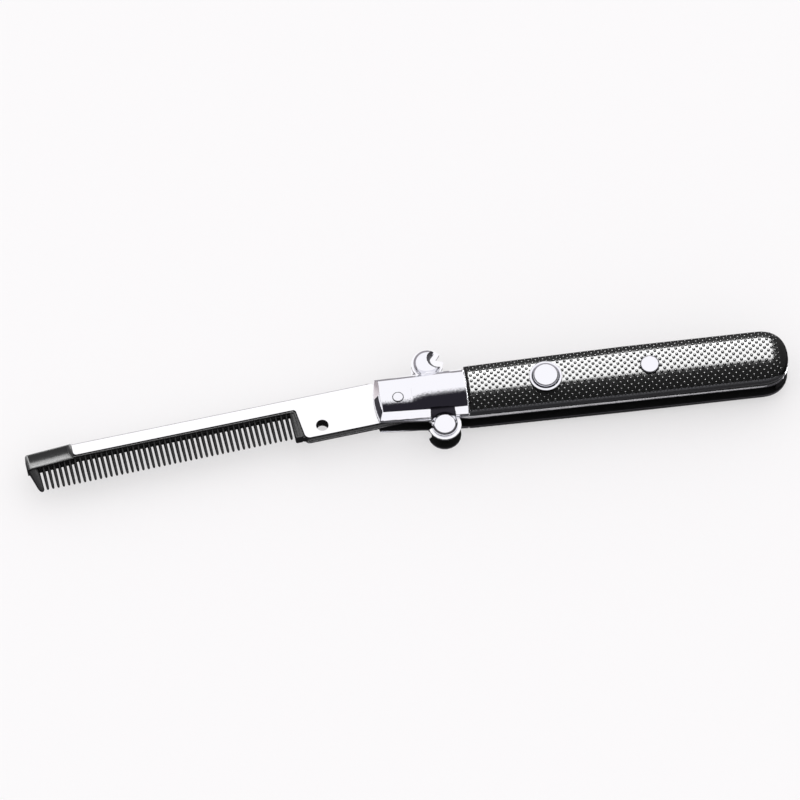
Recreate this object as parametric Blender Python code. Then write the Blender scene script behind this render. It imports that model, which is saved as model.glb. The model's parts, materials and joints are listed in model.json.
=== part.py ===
"""Folding comb in the shape of a stiletto: a comb blade that swings out of a two-sided handle.

Every size below is in millimetres. Shapes are drawn from the pivot: x runs along the handle to
the pommel, y to the back of the handle and z out of the side with the button. The last function
moves the whole comb so that it lies on the plane z = 0, centred on the origin.
"""
import bpy
import bmesh
from math import acos, atan2, cos, pi, radians, sin, sqrt, tan
from mathutils import Vector

MM = 0.001

# Gaps: between pieces that lie on each other, and round a piece that turns or slides.
SEAT_GAP = 0.25
RUN_GAP = 0.25

# Blade, in its own axes: u from the pivot to the tip, w from the pivot to the back edge.
BLADE_DROOP = 5.93
BLADE_BACK = 8.9
BLADE_EDGE = -4.5
BLADE_TIP = 107.3
SLEEVE_END = 93.6
SLEEVE_HALF = 1.9
SLEEVE_WALL = 0.6
CORE_HALF = 1.15
COMB_HALF = 1.75
TANG_RADIUS = 4.5
TANG_SHOULDER = 7.0
PIVOT_RADIUS = 1.65
CORE_EDGE = -4.0
LATCH_HOLE = (22.5, -1.5)
LATCH_HOLE_RADIUS = 1.8

# Teeth: a row of alike teeth between a broad end tooth at the tip and a post at the sleeve.
TOOTH_COUNT = 47
TOOTH_PITCH = 1.544
FIRST_GAP = 103.56
GAP_WIDTH = 0.8
ROOT_W = 4.1
ROOT_HALF = 1.3
TEETH_EDGE = -3.1
TOOTH_TIP_HALF = 0.55
TOOTH_TIP_WIDTH = 0.5
WINDOW_TOP = 5.15
WINDOW_FOOT = 27.9
POST_OUTER = 28.9
POST_INNER = 30.6
POST_FOOT = 28.35
POST_EDGE = -3.7
END_TOOTH_TIP = (104.4, 105.6)
END_TOOTH_EDGE = -3.4
END_TOOTH_ROOT = 3.3
BLOCK_CORNER_W = 8.1
PANEL = [(94.9, 4.8), (105.6, 3.9), (106.4, 7.4), (95.6, 8.2)]
PANEL_DEPTH = 0.45

# Handle: two plates with a channel between them, and a half-round shell on each.
CHANNEL_HALF = 2.35
PLATE = 0.75
SHELL_BASE = CHANNEL_HALF + PLATE + SEAT_GAP
SHELL_WALL = 0.5
SHELL_INSET = 0.45
FRONT = -5.8
FRONT_BULGE = 1.0
FRONT_SETBACK = 1.8
BOLSTER_END = 19.6
SCALE_START = BOLSTER_END + SEAT_GAP
SCALE_FLAT = 2.5
TAPER_START = 104.0
HANDLE_END = 112.5
POMMEL_POWER = 2.4
STATIONS = [
    {"x": FRONT, "edge": -5.4, "back": 8.3, "rise": 3.6},
    {"x": BOLSTER_END, "edge": -7.2, "back": 8.6, "rise": 4.2},
    {"x": 42.0, "edge": -7.4, "back": 9.1, "rise": 4.3},
    {"x": 66.0, "edge": -7.6, "back": 9.5, "rise": 4.3},
    {"x": HANDLE_END, "edge": -7.6, "back": 9.5, "rise": 4.3},
]

# Guards: a flat round ear on each plate, with a dome of the bolster on it. A notch runs in from
# the rim of each, and a conical bite takes the rear side off the dome on the back.
GUARDS = {
    "back": {"x": 9.8, "y": 11.4, "ear": 4.6, "dome": 4.0,
             "notch_deg": 18.0, "notch_from": 2.7, "notch_half": 1.35},
    "edge": {"x": 12.4, "y": -8.55, "ear": 4.75, "dome": 3.8,
             "notch_deg": 177.0, "notch_from": 2.4, "notch_half": 1.5},
}
GUARD_DOME_RISE = 3.1
BITE = (13.1, 11.4)
BITE_FLOOR = 2.3
BITE_TOP = 3.4

# Inside of the handle: a bar along its back and a block in its end.
BAR_EDGE = 5.1
BAR_BACK_INSET = 0.4
BLOCK_START = BLADE_TIP + 0.9

# Button side: the push button in its ring, and the rivet behind it.
BUTTON = (42.6, 0.95)
BUTTON_RADIUS = 3.7
BUTTON_FOOT = 5.4
BUTTON_SHOULDER = 8.5
BUTTON_TOP = 10.6
RING_INNER = BUTTON_RADIUS + RUN_GAP
RING_OUTER = 4.7
RING_SEAT = 7.1
RING_TOP = 8.2
REAR_RIVET = (72.6, 1.2)
REAR_RIVET_RADIUS = 2.8
REAR_RIVET_STEM = 1.5
REAR_RIVET_RISE = 1.6

COLOURS = {
    "chrome": {"rgb": (0.80, 0.80, 0.82), "metallic": 1.0, "roughness": 0.08},
    "steel": {"rgb": (0.72, 0.72, 0.74), "metallic": 1.0, "roughness": 0.22},
    "polished": {"rgb": (0.86, 0.86, 0.88), "metallic": 1.0, "roughness": 0.15},
    "plastic": {"rgb": (0.012, 0.012, 0.014), "metallic": 0.0, "roughness": 0.32},
    "gloss": {"rgb": (0.008, 0.008, 0.009), "metallic": 0.0, "roughness": 0.14},
}


def clear_scene():
    for old in list(bpy.data.objects):
        bpy.data.objects.remove(old, do_unlink=True)


def make_material(name):
    look = COLOURS[name]
    mat = bpy.data.materials.new(name)
    mat.use_nodes = True
    shader = mat.node_tree.nodes["Principled BSDF"]
    shader.inputs["Base Color"].default_value = (*look["rgb"], 1.0)
    shader.inputs["Metallic"].default_value = look["metallic"]
    shader.inputs["Roughness"].default_value = look["roughness"]
    return mat


def add_empty(name, parent=None, place=(0.0, 0.0, 0.0), turn=0.0):
    empty = bpy.data.objects.new(name, None)
    bpy.context.scene.collection.objects.link(empty)
    empty.parent = parent
    empty.location = Vector(place) * MM
    empty.rotation_euler.z = radians(turn)
    return empty


def add_node(name, bm, parent, mat=None):
    """Turn a bmesh in millimetres into an object in metres under its parent."""
    bmesh.ops.scale(bm, vec=(MM, MM, MM), verts=bm.verts)
    bmesh.ops.recalc_face_normals(bm, faces=bm.faces)
    mesh = bpy.data.meshes.new(name)
    bm.to_mesh(mesh)
    bm.free()
    node = bpy.data.objects.new(name, mesh)
    bpy.context.scene.collection.objects.link(node)
    node.parent = parent
    if mat:
        mesh.materials.append(mat)
        mesh.shade_smooth()
        mesh.set_sharp_from_angle(angle=radians(35))
    return node


def combine(node, bm, operation):
    """Cut a shape out of a node, or join it on, with a Boolean that stays on the node."""
    tool = add_node(f"{node.name}_{operation.lower()}_{len(node.modifiers)}", bm, node.parent)
    tool.hide_render = True
    tool.display_type = "WIRE"
    step = node.modifiers.new(tool.name, "BOOLEAN")
    step.operation = operation
    step.object = tool


def cut(node, bm):
    combine(node, bm, "DIFFERENCE")


def join(node, bm):
    combine(node, bm, "UNION")


def arc(centre, radius, start, end, steps):
    angles = [start + (end - start) * i / steps for i in range(steps + 1)]
    return [(centre[0] + radius * cos(a), centre[1] + radius * sin(a)) for a in angles]


def rounded(corners, steps=4):
    """Outline through corners given as (x, y, radius), each rounded by an arc."""
    outline = []
    for i, (x, y, radius) in enumerate(corners):
        here = Vector((x, y))
        if radius == 0:
            outline.append((x, y))
            continue
        before = (Vector(corners[i - 1][:2]) - here).normalized()
        after = (Vector(corners[(i + 1) % len(corners)][:2]) - here).normalized()
        half = before.angle(after) / 2
        centre = here + (before + after).normalized() * radius / sin(half)
        start = here + before * radius / tan(half) - centre
        end = here + after * radius / tan(half) - centre
        first = atan2(start.y, start.x)
        sweep = (atan2(end.y, end.x) - first + pi) % (2 * pi) - pi
        outline += arc(centre, radius, first, first + sweep, steps)
    return outline


def prism(outline, low, high):
    """Solid between two heights with the given outline."""
    bm = bmesh.new()
    face = bm.faces.new([bm.verts.new((x, y, low)) for x, y in outline])
    extruded = bmesh.ops.extrude_face_region(bm, geom=[face])
    raised = [v for v in extruded["geom"] if isinstance(v, bmesh.types.BMVert)]
    bmesh.ops.translate(bm, vec=(0, 0, high - low), verts=raised)
    return bm


def lathe(profile, centre=(0.0, 0.0), steps=24, closed=False):
    """Solid turned about a line along z from (radius, z) points; closed makes a ring."""
    bm = bmesh.new()
    rings = []
    for radius, z in profile:
        count = 1 if radius == 0 else steps
        turns = [2 * pi * i / steps for i in range(count)]
        spots = [(centre[0] + radius * cos(t), centre[1] + radius * sin(t), z) for t in turns]
        rings.append([bm.verts.new(spot) for spot in spots])
    pairs = list(zip(rings, rings[1:]))
    if closed:
        pairs.append((rings[-1], rings[0]))
    for lower, upper in pairs:
        for i in range(steps):
            k = (i + 1) % steps
            loop = [lower[i % len(lower)], lower[k % len(lower)],
                    upper[k % len(upper)], upper[i % len(upper)]]
            bm.faces.new(list(dict.fromkeys(loop)))
    return bm


def rod(radius, low, high, centre=(0.0, 0.0), steps=24):
    return lathe([(0, low), (radius, low), (radius, high), (0, high)], centre, steps)


def dome_profile(radius, base, rise, steps=5):
    """(radius, z) points of a dome from its rim to its top."""
    turns = [pi / 2 * i / steps for i in range(steps + 1)]
    points = [(radius * cos(t), base + rise * sin(t)) for t in turns]
    return points[:-1] + [(0, base + rise)]


def handle_at(x):
    """Lower edge, upper edge and shell rise of the handle at x, rounded off at the pommel."""
    index = 0
    while index < len(STATIONS) - 2 and x > STATIONS[index + 1]["x"]:
        index += 1
    near, far = STATIONS[index], STATIONS[index + 1]
    share = (x - near["x"]) / (far["x"] - near["x"])
    edge, back, rise = (near[k] + (far[k] - near[k]) * share for k in ("edge", "back", "rise"))
    if x > TAPER_START:
        along = (x - TAPER_START) / (HANDLE_END - TAPER_START)
        shrink = (1 - min(along, 1.0) ** POMMEL_POWER) ** (1 / POMMEL_POWER)
        middle, half = (edge + back) / 2, (back - edge) / 2
        edge, back = middle - half * shrink, middle + half * shrink
        rise = rise * (0.3 + 0.7 * shrink)
    return edge, back, rise


def pommel_stations(steps):
    """Places along the rounded end, closer together towards its tip."""
    reach = HANDLE_END - TAPER_START
    return [TAPER_START + reach * sin(pi / 2 * 0.93 * i / steps) for i in range(1, steps + 1)]


def shell_section(x, flat, steps):
    """(y, height) points over a shell, inside the plate's rim, from its back to its lower edge."""
    edge, back, rise = handle_at(x)
    middle, half = (edge + back) / 2, (back - edge) / 2 - SHELL_INSET
    flat = min(flat, half * 0.5)
    side = []
    for i in range(steps + 1):
        turn = pi / 2 * i / steps
        reach = flat + (half - flat) * cos(turn)
        side.append((reach, SHELL_WALL + (rise - SHELL_WALL) * sin(turn)))
    upper = [(middle + reach, z) for reach, z in side]
    lower = [(middle - reach, z) for reach, z in reversed(side)]
    return upper + lower


def half_shell(places, flat, side, steps, front=None):
    """Solid shell over a plate, as a grid of columns; side is 1 over the button, -1 under it."""
    bm = bmesh.new()
    rows = []
    for x in places:
        row = []
        for y, z in shell_section(x, flat, steps):
            top_x = front(x, y, z) if front else x
            base_x = front(x, y, 0.0) if front else x
            row.append((bm.verts.new((top_x, y, side * (SHELL_BASE + z))),
                        bm.verts.new((base_x, y, side * SHELL_BASE))))
        rows.append(row)
    for one, two in zip(rows, rows[1:]):
        for i in range(len(one) - 1):
            for layer in (0, 1):
                bm.faces.new((one[i][layer], one[i + 1][layer], two[i + 1][layer], two[i][layer]))
        for i in (0, -1):
            bm.faces.new((one[i][0], one[i][1], two[i][1], two[i][0]))
    for row in (rows[0], rows[-1]):
        for left, right in zip(row, row[1:]):
            bm.faces.new((left[0], left[1], right[1], right[0]))
    return bm


def bulge(y):
    """How far the front of the handle stands out at y."""
    edge, back, _ = handle_at(FRONT)
    across = (2 * y - edge - back) / (back - edge)
    return FRONT_BULGE * (1 - min(across * across, 1.0))


def bolster_front(x, y, z):
    """Shift the bolster's front rows: bowed in plan and leaning back over their height."""
    fade = max(0.0, 1 - (x - FRONT) / 6.0)
    lean = FRONT_SETBACK * z / STATIONS[0]["rise"]
    return x - (bulge(y) - lean) * fade


def ear_arc(guard, steps=14):
    """Round ear on an edge of the plate, from the left on the back and the right below."""
    edge, back, _ = handle_at(guard["x"])
    on_back = guard["y"] > 0
    rise = (back if on_back else edge) - guard["y"]
    chord = sqrt(guard["ear"] ** 2 - rise ** 2)
    left, right = atan2(rise, -chord), atan2(rise, chord)
    start, end = (left + 2 * pi, right) if on_back else (right, left)
    if not on_back:
        end = end - 2 * pi if end > start else end
    return arc((guard["x"], guard["y"]), guard["ear"], start, end, steps)


def plate_outline():
    """Outline of a handle plate with its two ears, clockwise from the front of the back."""
    along = [BOLSTER_END, 42.0, 66.0, TAPER_START] + pommel_stations(7)
    edge, back, _ = handle_at(FRONT)
    outline = [(FRONT, back)] + ear_arc(GUARDS["back"])
    outline += [(x, handle_at(x)[1]) for x in along]
    outline += [(x, handle_at(x)[0]) for x in reversed(along)]
    outline += ear_arc(GUARDS["edge"])
    ys = [edge + (back - edge) * i / 10 for i in range(10)]
    outline += [(FRONT - bulge(y), y) for y in ys]
    return outline


def notch(guard):
    """Outline of the V-shaped notch in the rim of a guard, from its inner corner."""
    turn = radians(guard["notch_deg"])
    depth = guard["ear"] - guard["notch_from"]
    overrun = 0.1
    reach = guard["ear"] + overrun
    half = guard["notch_half"] * (depth + overrun) / depth
    spots = [(guard["notch_from"], 0), (reach, -half), (reach, half)]
    return [(guard["x"] + along * cos(turn) - across * sin(turn),
             guard["y"] + along * sin(turn) + across * cos(turn)) for along, across in spots]


def add_plate(name, side, parent, mat):
    low, high = sorted((side * CHANNEL_HALF, side * (CHANNEL_HALF + PLATE)))
    node = add_node(name, prism(plate_outline(), low, high), parent, mat)
    cut(node, rod(PIVOT_RADIUS + SEAT_GAP, low - 1, high + 1))
    for guard in GUARDS.values():
        cut(node, prism(notch(guard), low - 1, high + 1))
    if side > 0:
        cut(node, rod(REAR_RIVET_STEM + SEAT_GAP, low - 1, high + 1, REAR_RIVET))
    return node


def add_bolster(name, side, parent, mat):
    places = [FRONT, -3.0, -0.5, 2.5, 6.0, 9.0, 12.0, 15.0, BOLSTER_END]
    node = add_node(name, half_shell(places, 0.6, side, 7, bolster_front), parent, mat)
    base = side * SHELL_BASE
    for guard in GUARDS.values():
        profile = [(0, base)] + dome_profile(guard["dome"], base, side * GUARD_DOME_RISE)
        join(node, lathe(profile, (guard["x"], guard["y"]), 22))
    low, high = sorted((side * (SHELL_BASE - 1), side * (SHELL_BASE + 6)))
    for guard in GUARDS.values():
        cut(node, prism(notch(guard), low, high))
    slope = (BITE_TOP - BITE_FLOOR) / GUARD_DOME_RISE
    bite = [(0, base - side), (BITE_FLOOR - slope, base - side),
            (BITE_FLOOR + 6 * slope, base + 6 * side), (0, base + 6 * side)]
    cut(node, lathe(bite, BITE, 20))
    cut(node, rod(PIVOT_RADIUS + SEAT_GAP, low, high))
    return node


def add_scale(name, side, parent, mat):
    places = [SCALE_START, 42.0, 66.0, TAPER_START] + pommel_stations(6)
    node = add_node(name, half_shell(places, SCALE_FLAT, side, 6), parent, mat)
    if side > 0:
        cut(node, rod(RING_INNER, SHELL_BASE - 1, 9.5, BUTTON, 28))
        cut(node, rod(RING_OUTER + SEAT_GAP, RING_SEAT, 9.5, BUTTON, 28))
        cut(node, rod(REAR_RIVET_STEM + SEAT_GAP, SHELL_BASE - 1, 9.5, REAR_RIVET))
    return node


def tang_tangent():
    """Where the sloping back of the tang meets its round end, as (u, w)."""
    reach = sqrt(TANG_SHOULDER ** 2 + BLADE_BACK ** 2)
    turn = atan2(BLADE_BACK, -TANG_SHOULDER) - acos(TANG_RADIUS / reach)
    return -TANG_RADIUS * cos(turn), TANG_RADIUS * sin(turn)


def blade_frame(points):
    """Points from (u, w) to the blade's own x and y; x runs from the tip to the pivot."""
    return [(-u, w) for u, w in points]


def tang_end(radius, steps=10):
    """Round end of the tang from the tangent point down to the lower edge, as (u, w)."""
    u, w = tang_tangent()
    scale = radius / TANG_RADIUS
    first = atan2(w * scale, u * scale)
    return arc((0, 0), radius, first, 3 * pi / 2, steps)


def add_sleeve(parent, mat):
    """Sheet steel folded round the back of the comb, with a window for the teeth."""
    window = rounded([
        (WINDOW_FOOT, BLADE_EDGE, 1.5),
        (POST_OUTER, WINDOW_TOP, 0.85),
        (SLEEVE_END, WINDOW_TOP, 0.85),
        (SLEEVE_END, BLADE_BACK, 0),
        (TANG_SHOULDER, BLADE_BACK, 0),
        (0, BLADE_EDGE, 0),
    ])
    outline = window[:-1] + tang_end(TANG_RADIUS)
    node = add_node("blade_sleeve", prism(blade_frame(outline), -SLEEVE_HALF, SLEEVE_HALF),
                    parent, mat)
    inner = SLEEVE_HALF - SLEEVE_WALL
    slot = [(-10, -10), (SLEEVE_END + 5, -10),
            (SLEEVE_END + 5, BLADE_BACK - SLEEVE_WALL), (-10, BLADE_BACK - SLEEVE_WALL)]
    cut(node, prism(blade_frame(slot), -inner, inner))
    cut(node, rod(PIVOT_RADIUS + RUN_GAP, -5, 5))
    cut(node, rod(LATCH_HOLE_RADIUS, -5, 5, blade_frame([LATCH_HOLE])[0]))
    return node


def tooth(bm, root, tip, root_w, edge, tip_half):
    """One tapered tooth; root and tip are (low u, high u) where it leaves the strip and ends."""
    levels = [
        (root_w + 0.4, root, ROOT_HALF),
        (root_w - 0.5, (root[0] + 0.02, root[1] - 0.02), ROOT_HALF - 0.05),
        (edge + 0.45, tip, tip_half),
        (edge, ((tip[0] * 2 + tip[1]) / 3, (tip[0] + tip[1] * 2) / 3), tip_half * 0.5),
    ]
    rings = []
    for w, (u0, u1), half in levels:
        spots = ((u0, half), (u1, half), (u1, -half), (u0, -half))
        rings.append([bm.verts.new((-u, w, z)) for u, z in spots])
    for one, two in zip(rings, rings[1:]):
        for i in range(4):
            k = (i + 1) % 4
            bm.faces.new((one[i], one[k], two[k], two[i]))
    bm.faces.new(rings[0])
    bm.faces.new(rings[-1])


def add_teeth(node):
    bm = bmesh.new()
    width = TOOTH_PITCH - GAP_WIDTH
    for i in range(TOOTH_COUNT):
        centre = FIRST_GAP - TOOTH_PITCH * (i + 0.5)
        tooth(bm, (centre - width / 2, centre + width / 2),
              (centre - TOOTH_TIP_WIDTH / 2, centre + TOOTH_TIP_WIDTH / 2),
              ROOT_W, TEETH_EDGE, TOOTH_TIP_HALF)
    end = FIRST_GAP + GAP_WIDTH / 2
    tooth(bm, (end, BLADE_TIP - 0.2), END_TOOTH_TIP, END_TOOTH_ROOT, END_TOOTH_EDGE, 0.7)
    join(node, bm)


def strip(u_low, u_high):
    """Thick strip above the teeth; its faces slope in to the teeth's roots."""
    spots = ((ROOT_W, ROOT_HALF), (ROOT_W + 0.4, COMB_HALF), (WINDOW_TOP - SEAT_GAP, COMB_HALF))
    loop = list(spots) + [(w, -z) for w, z in reversed(spots)]
    bm = bmesh.new()
    rings = []
    for u in (u_low, u_high):
        rings.append([bm.verts.new((-u, w, z)) for w, z in loop])
    for i in range(6):
        k = (i + 1) % 6
        bm.faces.new((rings[0][i], rings[0][k], rings[1][k], rings[1][i]))
    bm.faces.new(rings[0])
    bm.faces.new(rings[1])
    return bm


def add_comb(parent, mat):
    """Moulded comb: teeth, strip, tip block and end post on a core inside the sleeve."""
    core_back = BLADE_BACK - SLEEVE_WALL - SEAT_GAP
    u, w = tang_tangent()
    fit = (BLADE_BACK - core_back) * 1.1
    core = [(28.2, CORE_EDGE), (29.6, POST_EDGE + 0.5), (29.6, ROOT_W + 0.3),
            (BLADE_TIP - 4, ROOT_W + 0.3), (BLADE_TIP - 4, BLOCK_CORNER_W - 0.3),
            (SLEEVE_END, core_back), (TANG_SHOULDER + fit, core_back), (u + 0.6, w)]
    core += arc((0, 0), -CORE_EDGE, atan2(w, u + 0.6), 3 * pi / 2, 10)[1:]
    node = add_node("comb_insert", prism(blade_frame(core), -CORE_HALF, CORE_HALF), parent, mat)
    join(node, strip(POST_OUTER + 0.9, SLEEVE_END + 1.0))
    block = rounded([
        (SLEEVE_END + SEAT_GAP, ROOT_W, 0),
        (FIRST_GAP, ROOT_W - 0.2, 0),
        (BLADE_TIP - 0.15, END_TOOTH_ROOT, 0.5),
        (BLADE_TIP, BLOCK_CORNER_W, 0.8),
        (SLEEVE_END + SEAT_GAP, BLADE_BACK, 0),
    ])
    join(node, prism(blade_frame(block), -SLEEVE_HALF + 0.05, SLEEVE_HALF - 0.05))
    post = rounded([
        (POST_FOOT, POST_EDGE, 0.5),
        (POST_INNER - 0.3, POST_EDGE, 0.6),
        (POST_INNER, WINDOW_TOP - SEAT_GAP, 0),
        (POST_OUTER + SEAT_GAP, WINDOW_TOP - SEAT_GAP, 0.85),
    ])
    join(node, prism(blade_frame(post), -COMB_HALF + 0.02, COMB_HALF - 0.02))
    add_teeth(node)
    panel = rounded([(u, w, 0.5) for u, w in PANEL], 3)
    floor = SLEEVE_HALF - 0.05 - PANEL_DEPTH
    cut(node, prism(blade_frame(panel), floor, SLEEVE_HALF + 1))
    cut(node, prism(blade_frame(panel), -SLEEVE_HALF - 1, -floor))
    cut(node, rod(PIVOT_RADIUS + RUN_GAP, -5, 5))
    cut(node, rod(LATCH_HOLE_RADIUS, -5, 5, blade_frame([LATCH_HOLE])[0]))
    return node


def add_back_bar(parent, mat):
    """Bar that closes the back of the handle; its front end stops the open blade."""
    turn = radians(BLADE_DROOP)
    u, w = tang_tangent()
    touch = Vector((-u * cos(turn) - w * sin(turn), -u * sin(turn) + w * cos(turn)))
    corner = Vector((-TANG_SHOULDER * cos(turn) - BLADE_BACK * sin(turn),
                     -TANG_SHOULDER * sin(turn) + BLADE_BACK * cos(turn)))
    slope = (corner.y - touch.y) / (corner.x - touch.x)
    lift = RUN_GAP * sqrt(1 + slope * slope)

    def stop_y(x):
        return touch.y + slope * (x - touch.x) + lift

    nose = -3.6
    foot = touch.x + (BAR_EDGE - touch.y - lift) / slope
    along = [nose, BOLSTER_END, 42.0, 66.0, TAPER_START]
    outline = [(x, handle_at(x)[1] - BAR_BACK_INSET) for x in along]
    outline += [(BLOCK_START - SEAT_GAP, handle_at(BLOCK_START)[1] - BAR_BACK_INSET),
                (BLOCK_START - SEAT_GAP, BAR_EDGE), (foot, BAR_EDGE), (nose, stop_y(nose))]
    half = CHANNEL_HALF - SEAT_GAP
    return add_node("back_bar", prism(outline, -half, half), parent, mat)


def add_end_block(parent, mat):
    """Block between the plates inside the rounded end of the handle."""
    along = [BLOCK_START] + [x for x in pommel_stations(7) if x > BLOCK_START + 0.3]
    inset = BAR_BACK_INSET
    outline = [(x, handle_at(x)[1] - inset) for x in along]
    outline += [(x, handle_at(x)[0] + inset) for x in reversed(along)]
    half = CHANNEL_HALF - SEAT_GAP
    return add_node("end_block", prism(outline, -half, half), parent, mat)


def add_pivot_pin(parent, mat):
    """Rivet through both bolsters, nearly flush, that the blade turns on."""
    edge, back, rise = handle_at(0.0)
    middle, half = (edge + back) / 2, (back - edge) / 2 - SHELL_INSET
    crown = SHELL_BASE + SHELL_WALL + (rise - SHELL_WALL) * sqrt(1 - (middle / half) ** 2)
    rim = crown - 0.05
    upper = dome_profile(PIVOT_RADIUS, rim, 0.25, 3)
    lower = [(radius, -z) for radius, z in reversed(upper)]
    return add_node("pivot_pin", lathe(lower + upper), parent, mat)


def add_button(parent, mat):
    """Push button: a round body with a domed head, free to sink into its ring."""
    profile = [(0, BUTTON_FOOT), (BUTTON_RADIUS, BUTTON_FOOT)]
    profile += dome_profile(BUTTON_RADIUS, BUTTON_SHOULDER, BUTTON_TOP - BUTTON_SHOULDER, 6)
    return add_node("push_button", lathe(profile, steps=28), parent, mat)


def add_button_ring(parent, mat):
    profile = [(RING_INNER, RING_SEAT + SEAT_GAP), (RING_OUTER, RING_SEAT + SEAT_GAP),
               (RING_OUTER, RING_TOP - 0.3), (RING_OUTER - 0.25, RING_TOP),
               (RING_INNER + 0.2, RING_TOP), (RING_INNER, RING_TOP - 0.2)]
    return add_node("button_ring", lathe(profile, BUTTON, 28, closed=True), parent, mat)


def add_rear_rivet(parent, mat):
    """Domed rivet that holds the cover to its plate."""
    rise = handle_at(REAR_RIVET[0])[2]
    base = SHELL_BASE + rise + SEAT_GAP
    profile = [(0, CHANNEL_HALF + 0.15), (REAR_RIVET_STEM, CHANNEL_HALF + 0.15),
               (REAR_RIVET_STEM, base)]
    profile += dome_profile(REAR_RIVET_RADIUS, base, REAR_RIVET_RISE)
    return add_node("rear_rivet", lathe(profile, REAR_RIVET), parent, mat)


def settle(root, nodes):
    """Lay the comb on z = 0 with the middle of its box over the origin."""
    bpy.context.view_layer.update()
    graph = bpy.context.evaluated_depsgraph_get()
    spots = []
    for node in nodes:
        shape = node.evaluated_get(graph)
        spots += [node.matrix_world @ v.co for v in shape.data.vertices]
    low = [min(spot[i] for spot in spots) for i in range(3)]
    high = [max(spot[i] for spot in spots) for i in range(3)]
    root.location = (-(low[0] + high[0]) / 2, -(low[1] + high[1]) / 2, -low[2])
    size = [round((high[i] - low[i]) * 1000, 3) for i in range(3)]
    print("size in mm", size, "pivot at", [round(c, 6) for c in root.location])


def build():
    clear_scene()
    mats = {name: make_material(name) for name in COLOURS}
    pivot = add_empty("pivot_place")
    blade = add_empty("blade_axis", pivot, turn=BLADE_DROOP)
    button = add_empty("button_axis", pivot, place=(*BUTTON, 0.0))
    nodes = [
        add_plate("plate_near", 1, pivot, mats["steel"]),
        add_plate("plate_far", -1, pivot, mats["steel"]),
        add_bolster("bolster_near", 1, pivot, mats["chrome"]),
        add_bolster("bolster_far", -1, pivot, mats["chrome"]),
        add_scale("cover_near", 1, pivot, mats["gloss"]),
        add_scale("cover_far", -1, pivot, mats["gloss"]),
        add_back_bar(pivot, mats["plastic"]),
        add_end_block(pivot, mats["plastic"]),
        add_pivot_pin(pivot, mats["chrome"]),
        add_button_ring(pivot, mats["chrome"]),
        add_rear_rivet(pivot, mats["chrome"]),
        add_button(button, mats["chrome"]),
        add_sleeve(blade, mats["polished"]),
        add_comb(blade, mats["plastic"]),
    ]
    settle(pivot, nodes)
    print("the blade folds through", round(180 - BLADE_DROOP, 2), "degrees")


build()
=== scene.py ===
# %% [markdown]
# Folding comb, dressed for its portrait
#
# This notebook builds the looks of a push-button folding comb around a fixed model of its parts.
# The real one has a steel blade with a black comb in it, and a handle of two steel plates with
# chrome bolsters and pebbled black covers. We replace every plain solid with a finer piece, give
# each its finish, and light the comb as for a catalogue.

import json
from math import atan2, cos, hypot, pi, radians, sin, tan

import bmesh
import bpy
import numpy as np
from mathutils import Matrix, Vector


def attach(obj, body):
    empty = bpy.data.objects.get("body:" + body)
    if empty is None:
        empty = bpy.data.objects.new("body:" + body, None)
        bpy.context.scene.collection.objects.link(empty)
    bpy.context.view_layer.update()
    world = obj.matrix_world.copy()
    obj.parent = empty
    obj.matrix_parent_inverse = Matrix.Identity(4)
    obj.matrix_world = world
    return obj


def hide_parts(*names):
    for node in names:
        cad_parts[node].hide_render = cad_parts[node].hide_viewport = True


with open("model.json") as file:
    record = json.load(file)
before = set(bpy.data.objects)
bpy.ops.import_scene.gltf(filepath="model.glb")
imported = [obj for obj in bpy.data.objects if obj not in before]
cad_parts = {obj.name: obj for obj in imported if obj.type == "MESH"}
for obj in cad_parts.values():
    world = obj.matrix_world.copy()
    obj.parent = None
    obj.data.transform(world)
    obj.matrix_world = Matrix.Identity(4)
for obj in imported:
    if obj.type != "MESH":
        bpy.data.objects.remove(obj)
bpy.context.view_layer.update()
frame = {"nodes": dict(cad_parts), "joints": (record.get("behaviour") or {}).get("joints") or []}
joints = {joint["name"]: joint for joint in frame["joints"]}
PIVOT = Vector(joints["blade_fold"]["pos_m"])
MM = 0.001
print("pieces in the frame:", len(frame["nodes"]))
print("the blade turns about", [round(c / MM, 2) for c in PIVOT], "in mm")

# %% [markdown]
# The camera comes first, because it decides which details need the most care. The photograph
# looks down on the comb with a long lens, from a little in front of its lower edge, and is tilted
# so that the handle climbs to the right. A lens of 395 mm on a 36 mm sensor, 2.5 m away, sees a
# square of 228 mm.

# %% Camera
TO_CAMERA = Vector((-0.06, -0.46, 0.886)).normalized()
CLIMB = radians(6.3)
DISTANCE = 2.5
FIELD = 0.228
AIM_ABOVE_PIVOT = 7.1 * MM
AIM_RIGHT, AIM_UP = 0.57 * MM, -1.0 * MM


def place_camera():
    level = (Vector((1, 0, 0)) - TO_CAMERA * TO_CAMERA.x).normalized()
    upright = TO_CAMERA.cross(level)
    right = level * cos(CLIMB) - upright * sin(CLIMB)
    up = level * sin(CLIMB) + upright * cos(CLIMB)
    aim = PIVOT + Vector((0, 0, AIM_ABOVE_PIVOT)) + right * AIM_RIGHT + up * AIM_UP
    camera = bpy.data.objects.new("camera", bpy.data.cameras.new("camera"))
    bpy.context.scene.collection.objects.link(camera)
    camera.data.sensor_width = 36.0
    camera.data.lens = camera.data.sensor_width * DISTANCE / FIELD
    camera.data.clip_start, camera.data.clip_end = 0.1, 20.0
    turn = Matrix((right, up, TO_CAMERA)).transposed().to_4x4()
    camera.matrix_world = Matrix.Translation(aim + TO_CAMERA * DISTANCE) @ turn
    bpy.context.scene.camera = camera
    return camera


camera = place_camera()
print("lens in mm:", round(camera.data.lens, 1))

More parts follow.
